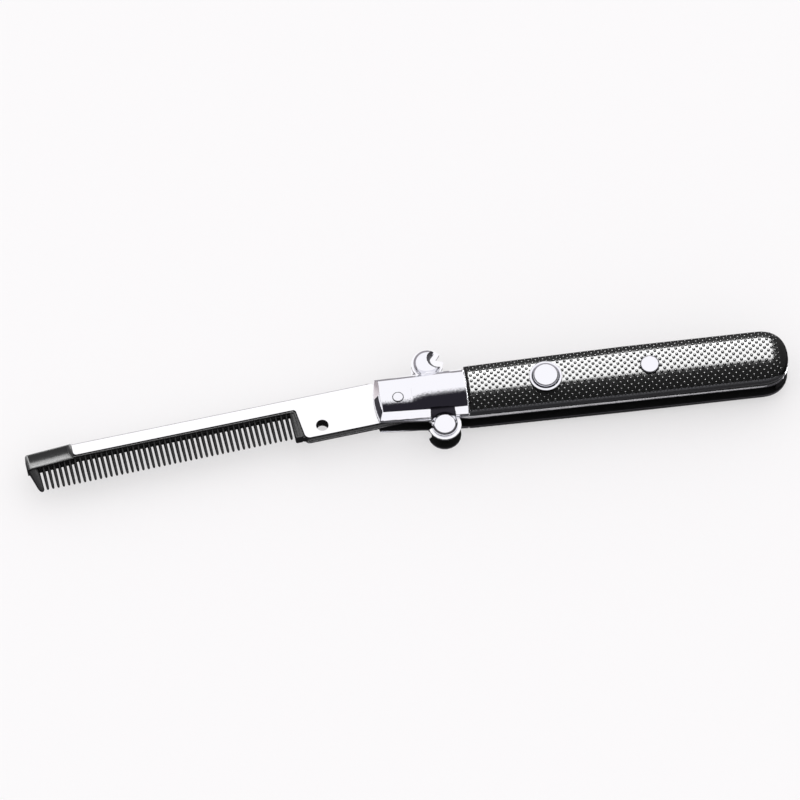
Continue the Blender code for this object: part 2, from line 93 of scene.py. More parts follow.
# %% [markdown]
# A polished surface is a picture of the room, so the room is designed with it. The room is white
# all round, which makes the steel and the chrome bright. Black plastic needs more: a strong box
# behind the comb draws the highlight on the covers alone, and a weaker lamp, lower behind it,
# lights the black moulding alone. The table is a light table that glows a little, which keeps
# its shadows pale. Mirrors see it without the glow, dark in front of the comb and lighter behind
# it, which gives the chrome its dark edges.

# %% Helpers for nodes and colours


def colour(code):
    """Linear colour from an sRGB code such as e6e6ea."""
    parts = [int(code[i:i + 2], 16) / 255 for i in (0, 2, 4)]
    linear = [p / 12.92 if p <= 0.04045 else ((p + 0.055) / 1.055) ** 2.4 for p in parts]
    return (*linear, 1.0)


def add(tree, kind, inputs=None, **settings):
    """Add a node; each input is given a value, or is linked to another node's output."""
    node = tree.nodes.new(kind)
    for name, value in settings.items():
        setattr(node, name, value)
    for name, value in (inputs or {}).items():
        if isinstance(value, bpy.types.NodeSocket):
            tree.links.new(value, node.inputs[name])
        else:
            node.inputs[name].default_value = value
    return node


# %% Room
ROOM_WHITE = "fbfafb"
MIRRORED_BRIGHTNESS, ROOM_BRIGHTNESS = 1.2, 1.05


def light_room():
    """Even white room, a little brighter in mirrors than for matt surfaces."""
    world = bpy.data.worlds.new("studio")
    bpy.context.scene.world = world
    world.use_nodes = True
    tree = world.node_tree
    tree.nodes.clear()
    rays = add(tree, "ShaderNodeLightPath")
    mirrored = add(tree, "ShaderNodeBackground", {
        "Color": colour(ROOM_WHITE), "Strength": MIRRORED_BRIGHTNESS})
    plain = add(tree, "ShaderNodeBackground", {
        "Color": colour(ROOM_WHITE), "Strength": ROOM_BRIGHTNESS})
    seen = add(tree, "ShaderNodeMixShader", {
        "Fac": rays.outputs["Is Glossy Ray"], 1: plain.outputs[0], 2: mirrored.outputs[0]})
    add(tree, "ShaderNodeOutputWorld", {"Surface": seen.outputs[0]})


light_room()
bpy.context.scene.view_settings.view_transform = "Standard"
print("room brightness:", ROOM_BRIGHTNESS)

# %% Lamps and table
LAMP_AWAY = 2.2
SOFTBOX = {"tilt": -38.5, "deep": 1.7, "wide": 1.6, "radiance": 130.0}
COMB_LAMP = {"tilt": -63.0, "deep": 2.2, "wide": 2.4, "radiance": 14.0}
TABLE_PAPER, TABLE_GLOW = "b5b4b5", 0.49
TABLE_IN_MIRRORS = {"before": "403e42", "behind": "9c989c"}


def add_lamp(name, plan):
    """Oblong lamp behind the comb, tilted about the X axis and facing the pivot."""
    lamp = bpy.data.lights.new(name, "AREA")
    lamp.shape = "RECTANGLE"
    lamp.size, lamp.size_y = plan["wide"], plan["deep"]
    lamp.energy = plan["radiance"] * pi * plan["wide"] * plan["deep"]
    holder = bpy.data.objects.new(name, lamp)
    bpy.context.scene.collection.objects.link(holder)
    lean = radians(plan["tilt"])
    holder.location = PIVOT + Vector((0.06, -sin(lean), cos(lean))).normalized() * LAMP_AWAY
    holder.rotation_euler = (lean, 0.0, 0.0)
    holder.visible_camera = False
    return holder


def add_table():
    """Large plane just under the comb, with a second tone for rays that come from mirrors."""
    bpy.ops.mesh.primitive_plane_add(size=8, location=(0, 0, -0.00005))
    table = bpy.context.object
    table.name = "table"
    paper = bpy.data.materials.new("matt_white_paper")
    paper.use_nodes = True
    tree = paper.node_tree
    rays = add(tree, "ShaderNodeLightPath")
    place = add(tree, "ShaderNodeTexCoord")
    axes = add(tree, "ShaderNodeSeparateXYZ", {"Vector": place.outputs["Object"]})
    behind = add(tree, "ShaderNodeMapRange", {
        "Value": axes.outputs["Y"], "From Min": -2 * MM, "From Max": 12 * MM})
    mirrored = add(tree, "ShaderNodeMix", {
        "Factor": behind.outputs[0], "A": colour(TABLE_IN_MIRRORS["before"]),
        "B": colour(TABLE_IN_MIRRORS["behind"])}, data_type="RGBA")
    tone = add(tree, "ShaderNodeMix", {
        "Factor": rays.outputs["Is Glossy Ray"], "A": colour(TABLE_PAPER),
        "B": mirrored.outputs["Result"]}, data_type="RGBA")
    glow = add(tree, "ShaderNodeMapRange", {
        "Value": rays.outputs["Is Glossy Ray"], "To Min": TABLE_GLOW, "To Max": 0.0})
    shader = tree.nodes["Principled BSDF"]
    tree.links.new(tone.outputs["Result"], shader.inputs["Base Color"])
    tree.links.new(glow.outputs[0], shader.inputs["Emission Strength"])
    shader.inputs["Emission Color"].default_value = colour("fffefe")
    shader.inputs["Roughness"].default_value = 0.9
    table.data.materials.append(paper)
    return table


softbox = add_lamp("softbox", SOFTBOX)
comb_lamp = add_lamp("comb_lamp", COMB_LAMP)
table = add_table()
print("softbox in watts:", round(softbox.data.energy, 1))

# %% [markdown]
# The broad dark band along the chrome bolster is a reflection with an uneven upper edge. Such a
# band comes from a dark card held close to the metal, out of the picture. The card here leans
# over the bolster's lower flank, and only mirrors see it. Its upper edge is drawn by nodes, in
# the card's transparency, which is easier to adjust than a cut outline.

# %% Dark card over the bolster
CARD_X, CARD_Y, CARD_Z = (-5.6, 19.8), (-5.3, 1.8), (6.78, 8.3)
CARD_STEP = {"x": (2.6, 8.2), "edge": (-1.1, 0.05)}
CARD_BLUR, CARD_TEAR = 1.1, 1.3


def torn_edge(tree):
    """1 on the card and 0 past its upper edge, which steps up along X and is uneven."""
    place = add(tree, "ShaderNodeTexCoord")
    axes = add(tree, "ShaderNodeSeparateXYZ", {"Vector": place.outputs["Object"]})
    step = [PIVOT.x + x * MM for x in CARD_STEP["x"]]
    edges = [PIVOT.y + y * MM for y in CARD_STEP["edge"]]
    edge = add(tree, "ShaderNodeMapRange", {
        "Value": axes.outputs["X"], "From Min": step[0], "From Max": step[1],
        "To Min": edges[0], "To Max": edges[1]}, interpolation_type="SMOOTHSTEP")
    tear = add(tree, "ShaderNodeTexNoise", {
        "Vector": place.outputs["Object"], "Scale": 1 / (0.35 * MM), "Detail": 3.0})
    rough = add(tree, "ShaderNodeMapRange", {
        "Value": tear.outputs["Fac"], "To Min": -CARD_TEAR * MM, "To Max": CARD_TEAR * MM})
    past = add(tree, "ShaderNodeMath", {
        0: axes.outputs["Y"], 1: edge.outputs[0]}, operation="SUBTRACT")
    uneven = add(tree, "ShaderNodeMath", {0: past.outputs[0], 1: rough.outputs[0]})
    return add(tree, "ShaderNodeMapRange", {
        "Value": uneven.outputs[0], "From Min": -CARD_BLUR * MM, "From Max": CARD_BLUR * MM,
        "To Min": 1.0, "To Max": 0.0}, interpolation_type="SMOOTHSTEP").outputs[0]


def add_card():
    """A small dark card close over the bolster, leaning as its flank does; only mirrors see it."""
    (x0, x1), (y0, y1), (z0, z1) = CARD_X, CARD_Y, CARD_Z
    bpy.ops.mesh.primitive_plane_add(
        size=1, location=PIVOT + Vector(((x0 + x1) / 2, (y0 + y1) / 2, (z0 + z1) / 2)) * MM)
    card = bpy.context.object
    card.name = "dark_card"
    card.scale = ((x1 - x0) * MM, hypot(y1 - y0, z1 - z0) * MM, 1)
    card.rotation_euler.x = atan2(z1 - z0, y1 - y0)
    bpy.ops.object.transform_apply(location=True, rotation=True, scale=True)
    glowing_card_finish = bpy.data.materials.new("glowing_dark_card")
    glowing_card_finish.use_nodes = True
    tree = glowing_card_finish.node_tree
    shader = tree.nodes["Principled BSDF"]
    shader.inputs["Base Color"].default_value = colour("000000")
    # The card's faint grey glow is painted light, which sets the tone of the dark band it makes in the
    # chrome.
    shader.inputs["Emission Color"].default_value = colour("2b2930")
    shader.inputs["Emission Strength"].default_value = 1.0
    shader.inputs["Roughness"].default_value = 1.0
    shader.inputs["Specular IOR Level"].default_value = 0.0
    tree.links.new(torn_edge(tree), shader.inputs["Alpha"])
    card.data.materials.append(glowing_card_finish)
    for ray in ("camera", "diffuse", "shadow", "transmission", "volume_scatter"):
        setattr(card, f"visible_{ray}", False)
    return card


card = add_card()
print("the card hangs", CARD_Z, "mm over the pivot")

# %% [markdown]
# Pieces are drawn in millimetres from the pivot, where bevels and merges are easy to judge, and
# then brought to metres and to their place in one go. A few small helpers do what a hand does
# with the mouse: clear the selection, pick faces by where they are, run a modifier and keep it.

# %% Helpers for modelling


def clear_selection():
    if bpy.context.mode != "OBJECT":
        bpy.ops.object.mode_set(mode="OBJECT")
    bpy.ops.object.select_all(action="DESELECT")


def select_only(piece):
    clear_selection()
    piece.select_set(True)
    bpy.context.view_layer.objects.active = piece


def edit(piece):
    """Open a piece in edit mode with all of it selected."""
    select_only(piece)
    bpy.ops.object.mode_set(mode="EDIT")
    bpy.ops.mesh.select_all(action="SELECT")


def apply_place(piece):
    """Bring a piece's place, turn and scale into its mesh."""
    select_only(piece)
    bpy.ops.object.transform_apply(location=True, rotation=True, scale=True)


def name_new(name):
    """Name the primitive just added and bring its place into its mesh."""
    piece = bpy.context.object
    piece.name = name
    apply_place(piece)
    return piece


def pick(piece, kind, test):
    """Select the verts, edges or faces whose middle (and normal, for a face) pass the test."""
    bpy.ops.mesh.select_mode(type=kind)
    bpy.ops.mesh.select_all(action="DESELECT")
    mesh = bmesh.from_edit_mesh(piece.data)
    group = {"VERT": mesh.verts, "EDGE": mesh.edges, "FACE": mesh.faces}[kind]
    count = 0
    for item in group:
        if kind == "VERT":
            chosen = test(item.co)
        elif kind == "EDGE":
            chosen = test((item.verts[0].co + item.verts[1].co) / 2, item)
        else:
            chosen = test(item.calc_center_median(), item.normal)
        if chosen:
            item.select_set(True)
            count += 1
    mesh.select_flush_mode()
    bmesh.update_edit_mesh(piece.data)
    return count


def modify(piece, kind, **settings):
    """Add a modifier, set it and apply it at once."""
    select_only(piece)
    step = piece.modifiers.new(kind.lower(), kind)
    for name, value in settings.items():
        setattr(step, name, value)
    bpy.ops.object.modifier_apply(modifier=step.name)


def combine(piece, tool, operation):
    """Cut one closed piece with another, or unite them, and delete the tool."""
    modify(piece, "BOOLEAN", operation=operation, object=tool, solver="MANIFOLD")
    bpy.data.objects.remove(tool)


def open_edges(piece):
    """How many edges don't lie between two faces; a closed piece has none."""
    mesh = bmesh.new()
    mesh.from_mesh(piece.data)
    count = sum(len(edge.link_faces) != 2 for edge in mesh.edges)
    mesh.free()
    return count


def join_pieces(pieces):
    clear_selection()
    for piece in pieces:
        piece.select_set(True)
    bpy.context.view_layer.objects.active = pieces[0]
    bpy.ops.object.join()
    return bpy.context.object


def to_place(piece, turn=0.0):
    """From millimetres about the pivot to metres in the frame."""
    piece.scale = (MM, MM, MM)
    piece.rotation_euler.z = radians(turn)
    piece.location = PIVOT
    apply_place(piece)


def finish_piece(piece, finish, body, node, smooth):
    """Shade a piece, paint it, and hang it on its body in place of the plain solid."""
    edit(piece)
    bpy.ops.mesh.normals_make_consistent(inside=False)
    select_only(piece)
    bpy.ops.object.shade_smooth_by_angle(angle=radians(smooth))
    piece.data.materials.clear()
    piece.data.materials.append(finish)
    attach(piece, body)
    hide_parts(node)
    piece.data.calc_loop_triangles()
    print(piece.name, "has", len(piece.data.loop_triangles), "triangles and", open_edges(piece),
          "open edges")


def paint_faces(piece, finish, test):
    """Give a second finish to the faces whose middle (in mm from the pivot) and normal pass."""
    piece.data.materials.append(finish)
    count = 0
    for face in piece.data.polygons:
        if test((face.center - PIVOT) / MM, face.normal):
            face.material_index = len(piece.data.materials) - 1
            count += 1
    print(piece.name, "has", count, "faces in", finish.name)


# %% [markdown]
# Chrome plate on a zinc casting is a mirror, but not a perfect one. Polishing leaves the metal
# under it a little wavy, so reflections wander, and handling leaves a veil of hair-fine marks.
# The wave is a bump about 5 mm long, and the veil varies the roughness over half a millimetre.

# %% Chrome


def new_finish(name, code, metallic, roughness):
    """Material with its plain values set; returns it with its nodes and its shader."""
    finish = bpy.data.materials.new(name)
    finish.use_nodes = True
    tree = finish.node_tree
    shader = tree.nodes["Principled BSDF"]
    shader.inputs["Base Color"].default_value = colour(code)
    shader.inputs["Metallic"].default_value = metallic
    shader.inputs["Roughness"].default_value = roughness
    return finish, tree, shader


def grain(tree, size_mm, detail=2.0, stretch=(1, 1, 1)):
    """Noise with marks of the given size in millimetres, longer along stretched axes."""
    spot = add(tree, "ShaderNodeTexCoord")
    scale = tuple(1 / (size_mm * MM * s) for s in stretch)
    place = add(tree, "ShaderNodeMapping", {"Vector": spot.outputs["Object"], "Scale": scale})
    return add(tree, "ShaderNodeTexNoise", {
        "Vector": place.outputs[0], "Scale": 1.0, "Detail": detail}).outputs["Fac"]


def vary(tree, fac, low, high):
    return add(tree, "ShaderNodeMapRange", {
        "Value": fac, "From Min": 0.3, "From Max": 0.7, "To Min": low, "To Max": high}).outputs[0]


def chrome_plate():
    finish, tree, shader = new_finish("chrome_plate_on_cast_zinc", "e9e9ee", 1.0, 0.06)
    veil = grain(tree, 0.5, 4.0)
    tree.links.new(vary(tree, veil, 0.035, 0.10), shader.inputs["Roughness"])
    wave = grain(tree, 5.0, 1.0)
    swell = add(tree, "ShaderNodeBump", {"Height": wave, "Strength": 0.3, "Distance": 0.00012})
    peel = grain(tree, 0.35, 2.0)
    bump = add(tree, "ShaderNodeBump", {
        "Height": peel, "Strength": 0.4, "Distance": 0.00001, "Normal": swell.outputs[0]})
    tree.links.new(bump.outputs[0], shader.inputs["Normal"])
    return finish


CHROME = chrome_plate()
print("made", CHROME.name)

# %% [markdown]
# The blade's sleeve is stainless sheet, polished along its length. Under a soft light it goes
# nearly white, with faint lengthwise grain. The handle's plates are nickel-plated, which is a
# little greyer and mirrors more sharply.

# %% Steels


def polished_sheet():
    finish, tree, shader = new_finish("polished_stainless_sheet", "f3f3f5", 1.0, 0.2)
    lines = grain(tree, 0.18, 3.0, (60, 1, 1))
    tree.links.new(vary(tree, lines, 0.15, 0.27), shader.inputs["Roughness"])
    bump = add(tree, "ShaderNodeBump", {"Height": lines, "Strength": 0.12, "Distance": 0.00002})
    tree.links.new(bump.outputs[0], shader.inputs["Normal"])
    return finish


def plated_sheet():
    finish, tree, shader = new_finish("nickel_plated_sheet", "ededf0", 1.0, 0.2)
    lines = grain(tree, 0.2, 3.0, (25, 1, 1))
    tree.links.new(vary(tree, lines, 0.07, 0.15), shader.inputs["Roughness"])
    return finish


SLEEVE_STEEL = polished_sheet()
PLATE_STEEL = plated_sheet()
print("made", SLEEVE_STEEL.name, "and", PLATE_STEEL.name)

# %% [markdown]
# All the black parts are moulded plastic, but from different moulds. The covers come from a
# polished mould and shine, the comb is semi-gloss with a faint bloom, and the inside of the
# handle is satin. The covers' lower flanks get a greyer, duller finish, which is a painted sheen.
# The satin black also goes on some steel and chrome faces as painted shade.

# %% Plastics


def moulded(name, code, low, high, mark_mm, bump_mm, gloss):
    """Black plastic: low and high roughness, the size and depth of its marks, and its gloss."""
    finish, tree, shader = new_finish(name, code, 0.0, (low + high) / 2)
    shader.inputs["Specular IOR Level"].default_value = gloss
    marks = grain(tree, mark_mm, 4.0)
    tree.links.new(vary(tree, marks, low, high), shader.inputs["Roughness"])
    bump = add(tree, "ShaderNodeBump", {
        "Height": marks, "Strength": 0.3, "Distance": bump_mm * MM})
    tree.links.new(bump.outputs[0], shader.inputs["Normal"])
    return finish


COVER_BLACK = moulded("gloss_black_abs", "020202", 0.10, 0.18, 1.2, 0.01, 0.09)
# Painted sheen: a greyer black for the covers' lower flanks.
PAINTED_FLANK_SHEEN = moulded("painted_flank_sheen_abs", "29292b", 0.3, 0.4, 1.2, 0.01, 0.09)
COMB_BLACK = moulded("semigloss_black_nylon", "101011", 0.24, 0.38, 0.6, 0.02, 0.3)
# Real black plastic for the spine bar and pommel block, and painted shade on the plates' inner faces and
# the pivot bore.
BLACK_PLASTIC_AND_PAINTED_SHADE = moulded("satin_black_plastic_and_painted_shade", "060607", 0.45, 0.6, 0.8, 0.02, 0.25)
print("made", COVER_BLACK.name, COMB_BLACK.name, BLACK_PLASTIC_AND_PAINTED_SHADE.name)

# %% [markdown]
# The handle narrows a little from its pommel to its front, and its two shells are half-round.
# Every piece of the handle needs to know how wide and how high it is at a place along it, so a
# short table and one function say so. Sizes are in millimetres from the pivot.

# %% Shape of the handle
SHELL_BASE = 3.35
SHELL_WALL = 0.5
FRONT, BOLSTER_END = -5.8, 19.6
COVER_START, TAPER_START, HANDLE_END = 19.85, 104.0, 112.5
POMMEL_POWER = 2.4
STATIONS = [
    {"x": FRONT, "edge": -5.4, "back": 8.3, "rise": 3.6},
    {"x": BOLSTER_END, "edge": -7.2, "back": 8.6, "rise": 4.2},
    {"x": 42.0, "edge": -7.4, "back": 9.1, "rise": 4.3},
    {"x": 66.0, "edge": -7.6, "back": 9.5, "rise": 4.3},
    {"x": HANDLE_END, "edge": -7.6, "back": 9.5, "rise": 4.3},
]


def handle_at(x):
    """Lower edge, back edge and rise of a shell at each x, and how far the pommel has shrunk."""
    x = np.asarray(x, float)
    places = [row["x"] for row in STATIONS]
    edge, back, rise = (np.interp(x, places, [row[key] for row in STATIONS])
                        for key in ("edge", "back", "rise"))
    along = np.clip((x - TAPER_START) / (HANDLE_END - TAPER_START), 0, 1)
    shrink = (1 - along ** POMMEL_POWER) ** (1 / POMMEL_POWER)
    middle, half = (edge + back) / 2, (back - edge) / 2 * shrink
    return middle - half, middle + half, rise * (0.3 + 0.7 * shrink), shrink


print("handle at the button is", round(float(handle_at(42.0)[1] - handle_at(42.0)[0]), 1), "mm deep")

# %% [markdown]
# Bolster. On the real comb this is one zinc casting with a half-round body, a flat ground along
# each flank, a round knob on each guard, and a low flat seat round the pivot. We make each of
# these as a simple solid, fuse them by a fine remesh, and let a smoothing pass do what the
# polishing wheel does to the edges. That gives soft, believable joins that a plain cut lacks.

# %% Body of the bolster
FRONT_BULGE, FRONT_LEAN = 1.0, 0.5
EDGE_INSET, BACK_INSET = {"front": -0.2, "rear": 0.45}, 0.65
BODY_SIDES = 128
OVERRUN = 1.2


def bolster_body():
    """Half-round bar, with its two end rings stretched to the handle's section there."""
    clear_selection()
    start, length = FRONT - OVERRUN, BOLSTER_END - FRONT + OVERRUN
    bpy.ops.mesh.primitive_cylinder_add(
        vertices=BODY_SIDES, radius=1, depth=length,
        location=(start + length / 2, 0, 0), rotation=(0, pi / 2, 0))
    body = name_new("bolster_body")
    edit(body)
    bpy.ops.mesh.bisect(plane_co=(0, 0, 0), plane_no=(0, 0, 1), use_fill=True, clear_inner=True)
    slope = {key: (STATIONS[1][key] - STATIONS[0][key]) / (BOLSTER_END - FRONT)
             for key in ("edge", "back", "rise")}
    for x, end in ((start, "front"), (BOLSTER_END, "rear")):
        edge, back, rise = (STATIONS[0][key] + slope[key] * (x - FRONT)
                            for key in ("edge", "back", "rise"))
        edge, back = edge + EDGE_INSET[end], back - BACK_INSET
        pick(body, "VERT", lambda co: abs(co.x - x) < 0.01)
        bpy.ops.transform.resize(value=(1, (back - edge) / 2, rise - SHELL_WALL),
                                 center_override=(x, 0, 0))
        bpy.ops.transform.translate(value=(0, (edge + back) / 2, SHELL_WALL))
    pick(body, "FACE", lambda co, normal: normal.z < -0.9)
    bpy.ops.mesh.extrude_region_move(TRANSFORM_OT_translate={"value": (0, 0, -SHELL_WALL)})
    bpy.ops.object.mode_set(mode="OBJECT")
    return body


def round_front(body):
    """Cut the front with a wide upright cone, so that it bows in plan and leans back."""
    edge, back = STATIONS[0]["edge"], STATIONS[0]["back"]
    half = (back - edge) / 2
    radius = (half * half + FRONT_BULGE ** 2) / (2 * FRONT_BULGE)
    height = 8.0
    clear_selection()
    bpy.ops.mesh.primitive_cone_add(
        vertices=360, radius1=radius + FRONT_LEAN, radius2=radius + FRONT_LEAN - height * FRONT_LEAN,
        depth=height,
        location=(FRONT - FRONT_BULGE + radius, (edge + back) / 2, height / 2 - 1))
    combine(body, name_new("front_cone"), "INTERSECT")


body = bolster_body()
round_front(body)
print("bolster body is", [round(d, 2) for d in body.dimensions], "mm")

# %% Flats and seat
NECK = (8.9, 15.7)
FLAT_IN, FLAT_UP = 1.35, 1.9
FLAT_CORNER, FLAT_TAPER, FLAT_REACH = 1.3, 0.9, 1.3
FLAT_BAR = {"deep": 8.0, "high": 10.0}
SEAT_END, SEAT_LEVEL = 4.0, 3.42


def flat_cutter(key, x0, x1, round_end):
    """Bar that grinds one flat on a flank, with round corners at the end by the neck."""
    start, end = STATIONS[0], STATIONS[1]
    clear_selection()
    middle, level = (x0 + x1) / 2, FLAT_BAR["high"] / 2
    bpy.ops.mesh.primitive_cube_add(size=1, location=(middle, 0, level),
                                    scale=(x1 - x0, FLAT_BAR["deep"], FLAT_BAR["high"]))
    cutter = name_new("flat_cutter")
    edit(cutter)
    pick(cutter, "EDGE", lambda co, item: abs(co.x - round_end) < 0.01
         and abs(co.z - level) < 0.01)
    bpy.ops.mesh.bevel(offset=FLAT_CORNER, segments=8, profile=0.5)
    bpy.ops.object.mode_set(mode="OBJECT")
    sign = 1 if key == "edge" else -1
    climb = atan2(FLAT_UP, FLAT_IN)
    taper = atan2(end[key] - start[key], end["x"] - start["x"]) * FLAT_TAPER
    edge_y = start[key] + (end[key] - start[key]) * (middle - start["x"]) / (end["x"] - start["x"])
    edge_y += (EDGE_INSET["front"] + EDGE_INSET["rear"]) / 2 if key == "edge" else -BACK_INSET
    reach = FLAT_BAR["deep"] / 2 - hypot(FLAT_IN, FLAT_UP) * FLAT_REACH
    cutter.matrix_world = (
        Matrix.Translation((middle, edge_y, SHELL_WALL)) @ Matrix.Rotation(taper, 4, "Z")
        @ Matrix.Rotation(sign * climb, 4, "X") @ Matrix.Translation((-middle, -sign * reach, 0)))
    apply_place(cutter)
    return cutter


def grind_flats(body):
    for key in ("edge", "back"):
        combine(body, flat_cutter(key, FRONT - 4, NECK[0], NECK[0]), "DIFFERENCE")
        combine(body, flat_cutter(key, NECK[1], BOLSTER_END + 4, NECK[1]), "DIFFERENCE")


def sink_seat(body):
    """Mill the crown flat in front, where the pivot rivet sits."""
    clear_selection()
    bpy.ops.mesh.primitive_cube_add(size=1, location=(SEAT_END - 10, 0, SEAT_LEVEL + 5),
                                    scale=(20, 40, 10))
    combine(body, name_new("seat_cutter"), "DIFFERENCE")


grind_flats(body)
sink_seat(body)
print("bolster body has", len(body.data.vertices), "points and", open_edges(body), "open edges")

# %% Knobs with their notches
GUARDS = {
    "back": {"x": 9.8, "y": 11.4, "dome": 4.0},
    "edge": {"x": 12.4, "y": -8.55, "dome": 3.8},
}
DOME_RISE = 3.1
BITE, BITE_FLOOR, BITE_TOP = (13.1, 11.4), 2.3, 3.4
BITE_LEAN = 1.0
NOTCH_DEG, NOTCH_FROM, NOTCH_SPREAD = 177.0, 2.5, radians(35)
VOXEL = 0.17
PIVOT_RADIUS, PIVOT_GROOVE = 1.42, 0.15


def knob(guard):
    """Flattened dome on a guard."""
    clear_selection()
    bpy.ops.mesh.primitive_uv_sphere_add(
        segments=96, ring_count=48, radius=1, location=(guard["x"], guard["y"], 0),
        scale=(guard["dome"], guard["dome"], DOME_RISE))
    dome = name_new("knob")
    edit(dome)
    bpy.ops.mesh.bisect(plane_co=(0, 0, 0), plane_no=(0, 0, 1), use_fill=True, clear_inner=True)
    bpy.ops.object.mode_set(mode="OBJECT")
    return dome


def bite_cutter():
    """Countersink that takes the rear side off the knob on the back."""
    slope = (BITE_TOP - BITE_FLOOR) / DOME_RISE
    low, high = -1.0, 6.0
    clear_selection()
    bpy.ops.mesh.primitive_cone_add(
        vertices=128, radius1=BITE_FLOOR + slope * low, radius2=BITE_FLOOR + slope * high,
        depth=high - low, location=(*BITE, (low + high) / 2))
    cutter = name_new("bite_cutter")
    edit(cutter)
    for level in (low, high):
        pick(cutter, "VERT", lambda co: abs(co.z - level) < 0.01)
        bpy.ops.transform.translate(value=(0, BITE_LEAN * (DOME_RISE - level) / DOME_RISE, 0))
    bpy.ops.object.mode_set(mode="OBJECT")
    return cutter


def notch_cutter(guard):
    """Cone on its side, whose tip bites into the knob and leaves a scooped notch."""
    turn = radians(NOTCH_DEG)
    length = 6.0
    middle = NOTCH_FROM + length / 2
    clear_selection()
    bpy.ops.mesh.primitive_cone_add(
        vertices=64, radius1=length * tan(NOTCH_SPREAD), radius2=0.15, depth=length,
        location=(guard["x"] + middle * cos(turn), guard["y"] + middle * sin(turn), DOME_RISE * 0.4),
        rotation=(0, -pi / 2, turn))
    return name_new("notch_cutter")


back_knob, edge_knob = knob(GUARDS["back"]), knob(GUARDS["edge"])
combine(back_knob, bite_cutter(), "DIFFERENCE")
combine(edge_knob, notch_cutter(GUARDS["edge"]), "DIFFERENCE")
near_bolster = join_pieces([body, back_knob, edge_knob])
near_bolster.name = "near_bolster"
modify(near_bolster, "REMESH", mode="VOXEL", voxel_size=VOXEL)
modify(near_bolster, "SMOOTH", factor=0.5, iterations=6)
print("fused bolster has", len(near_bolster.data.vertices), "points")

# %% [markdown]
# The far bolster is the same casting turned over. Mirroring is a negative scale, which turns the
# mesh inside out, so the finishing step recalculates which way the faces point. The front end,
# the wall of the bite and the recess by the lower knob get painted reflections: the front's lower
# part, the bite's wall and the recess a dark dull one, and the front's upper part a pale soft one.
# The faces of the bore round the pivot rivet are painted black, as painted shade in the groove.

# %% Both bolsters
# Painted reflections on the chrome: a dark dull one and a pale soft one.
PAINTED_DARK_REFLECTION = new_finish("painted_dark_reflection_zinc", "302e35", 1.0, 0.5)[0]
PAINTED_PALE_REFLECTION = new_finish("painted_pale_reflection_zinc", "e6dfe2", 1.0, 0.45)[0]
FRONT_SHADE = 1.6
RECESS = {"y": (-6.9, -4.2), "high": 3.0}


def dark_reflection_faces(co, normal):
    """Painted dark reflection: the lower front end, the bite's wall, and the recess by the edge knob."""
    height = abs(co.z) - SHELL_BASE
    front = normal.x < -0.8 and co.x < FRONT + 1.5 and co.y < FRONT_SHADE and height < 2.6
    across = hypot(co.x - BITE[0], co.y - BITE[1] - BITE_LEAN * (1 - height / DOME_RISE))
    wide = BITE_FLOOR + (BITE_TOP - BITE_FLOOR) * height / DOME_RISE
    wall = across < wide + 0.25 and co.y > 8.0 and abs(normal.z) < 0.75
    recess = (NECK[0] - 0.1 < co.x < NECK[1] + 0.1 and RECESS["y"][0] < co.y < RECESS["y"][1]
              and height < RECESS["high"])
    return front or wall or recess


# Painted pale reflection on the upper part of the front end.
def pale_reflection_front(co, normal):
    return normal.x < -0.8 and co.x < FRONT + 1.5 and co.y >= FRONT_SHADE


# Painted shade: the faces of the bore round the pivot rivet get the black finish.
def in_bore(co, normal):
    return hypot(co.x, co.y) < PIVOT_RADIUS + PIVOT_GROOVE + 0.05


def mirrored(piece, name):
    """Copy a piece to the other side of the handle."""
    clear_selection()
    twin = piece.copy()
    twin.data = piece.data.copy()
    twin.name = name
    bpy.context.scene.collection.objects.link(twin)
    twin.scale.z = -1
    apply_place(twin)
    return twin


def bore(piece, low, high):
    """Bore for the pivot rivet, a little wider than its head."""
    clear_selection()
    bpy.ops.mesh.primitive_cylinder_add(
        vertices=64, radius=PIVOT_RADIUS + PIVOT_GROOVE, depth=high - low,
        location=(0, 0, (low + high) / 2))
    combine(piece, name_new("bore_cutter"), "DIFFERENCE")


bore(near_bolster, SEAT_LEVEL - 0.6, SEAT_LEVEL + 2)
edit(near_bolster)
bpy.ops.transform.translate(value=(0, 0, SHELL_BASE))
clear_selection()
far_bolster = mirrored(near_bolster, "far_bolster")
for side, piece in (("near", near_bolster), ("far", far_bolster)):
    to_place(piece)
    finish_piece(piece, CHROME, "handle", f"bolster_{side}", smooth=50)
    paint_faces(piece, PAINTED_DARK_REFLECTION, dark_reflection_faces)
    paint_faces(piece, PAINTED_PALE_REFLECTION, pale_reflection_front)
    paint_faces(piece, BLACK_PLASTIC_AND_PAINTED_SHADE, in_bore)

# %% [markdown]
# Cover. Its surface is a field of round pebbles in a diagonal net, about 1.4 mm apart, with
# plain flanks where a mould couldn't release them. Modelling one small tile, repeating it with
# two Array modifiers and laying the sheet over the half-round form gives real pebbles that catch
# the light one by one, which a bump map can't do at the outline.

# %% One tile of pebbles
TILE_X, TILE_Y = 2.0, 2.08
PEBBLE_RINGS = [(0.47, 0.0), (0.44, 0.14), (0.33, 0.25), (0.16, 0.31)]
PEBBLE_RISE = 0.32
SIDES = 12
CUTS = 3


def flat_square(x, y):
    clear_selection()
    bpy.ops.mesh.primitive_grid_add(x_subdivisions=CUTS, y_subdivisions=CUTS, size=1,
                                    location=(x, y, 0), scale=(TILE_X / 2, TILE_Y / 2, 1))
    return name_new("flat_square")


